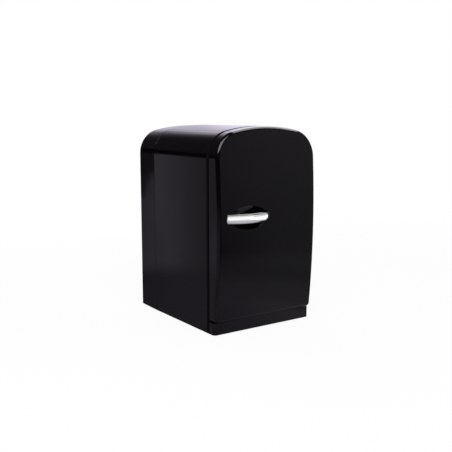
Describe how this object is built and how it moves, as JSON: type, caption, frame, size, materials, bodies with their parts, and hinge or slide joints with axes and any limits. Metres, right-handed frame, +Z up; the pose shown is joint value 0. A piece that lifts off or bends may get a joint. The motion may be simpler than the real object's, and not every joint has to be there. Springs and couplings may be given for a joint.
{
  "type": "mini fridge",
  "caption": "Arched-top thermoelectric mini fridge with a crowned hinged door, bowed chrome bar handle in an oval dish, lined cabinet with a shelf, and a vented rear cover.",
  "frame": {"origin": "middle of the footprint, on the surface that the fridge stands on", "axes": "+Z up, the door faces -Y, +X to the right of someone facing the door, on the hinge side"},
  "size_m": [0.19, 0.2656, 0.32],
  "materials": {
    "case_black": "high-gloss moulded ABS",
    "base_black": "matt moulded ABS",
    "liner_white": "satin moulded polystyrene",
    "rail_clear": "smooth moulded",
    "foam": "rigid insulating foam",
    "chrome": "polished chrome",
    "gasket": "soft seal",
    "foot_rubber": "moulded rubber",
    "steel": "zinc-plated steel",
    "acetal": "natural acetal",
    "ferrite": "sintered ferrite",
    "aluminium": "extruded",
    "ceramic": "white ceramic plates",
    "bulkhead": "moulded panel",
    "board_green": "lacquered glass-fibre board",
    "core_iron": "varnished laminations",
    "capacitor_sleeve": "shrink sleeve",
    "rocker_grey": "moulded",
    "lamp_green": "tinted lens",
    "lamp_red": "tinted lens"
  },
  "bodies": {
    "cabinet": {"case_shell": "case_black", "base_plate": "base_black", "base_screws": "steel", "foot_front_left": "foot_rubber", "foot_front_right": "foot_rubber", "foot_back_left": "foot_rubber", "foot_back_right": "foot_rubber", "inner_liner": "liner_white", "cabinet_foam": "foam", "shelf": "liner_white", "strike_plates": "steel", "hinge_bracket": "steel", "hinge_pin_upper": "steel", "hinge_pin_lower": "steel", "cold_plate": "aluminium", "cold_plate_screws": "steel", "cold_block": "aluminium", "peltier_module": "ceramic", "heat_sink": "aluminium", "clamp_screws": "steel", "rear_bulkhead": "bulkhead", "fan_frame": "base_black", "fan_screws": "steel", "rear_cover": "case_black", "rear_cover_screws": "steel", "power_board": "board_green", "board_screws": "steel", "transformer": "core_iron", "capacitors": "capacitor_sleeve", "rectifier_heatsink": "aluminium", "mains_inlet": "base_black", "dc_inlet": "base_black", "switch_frame": "base_black", "cold_led": "lamp_green", "hot_led": "lamp_red"},
    "door": {"door_outer": "case_black", "door_foam": "foam", "door_inner": "liner_white", "door_screws": "steel", "door_gasket": "gasket", "door_magnets": "ferrite", "door_rails": "rail_clear", "door_handle_bar": "chrome", "handle_screws": "steel", "hinge_bush_lower": "acetal", "hinge_bush_upper": "acetal"},
    "fan": {"fan_rotor": "base_black"},
    "rocker": {"mode_rocker": "rocker_grey"}
  },
  "joints": [
    {"name": "door_hinge", "type": "hinge", "parent": "cabinet", "child": "door", "pos_m": [0.089, -0.09866, 0.17], "axis": [0, 0, 1], "range_deg": [0, 110]},
    {"name": "fan_spin", "type": "hinge", "parent": "cabinet", "child": "fan", "pos_m": [0, 0.11784, 0.165], "axis": [0, 1, 0], "continuous": true},
    {"name": "mode_switch", "type": "hinge", "parent": "cabinet", "child": "rocker", "pos_m": [0.038, 0.12584, 0.05], "axis": [1, 0, 0], "range_deg": [-12, 12]}
  ]
}
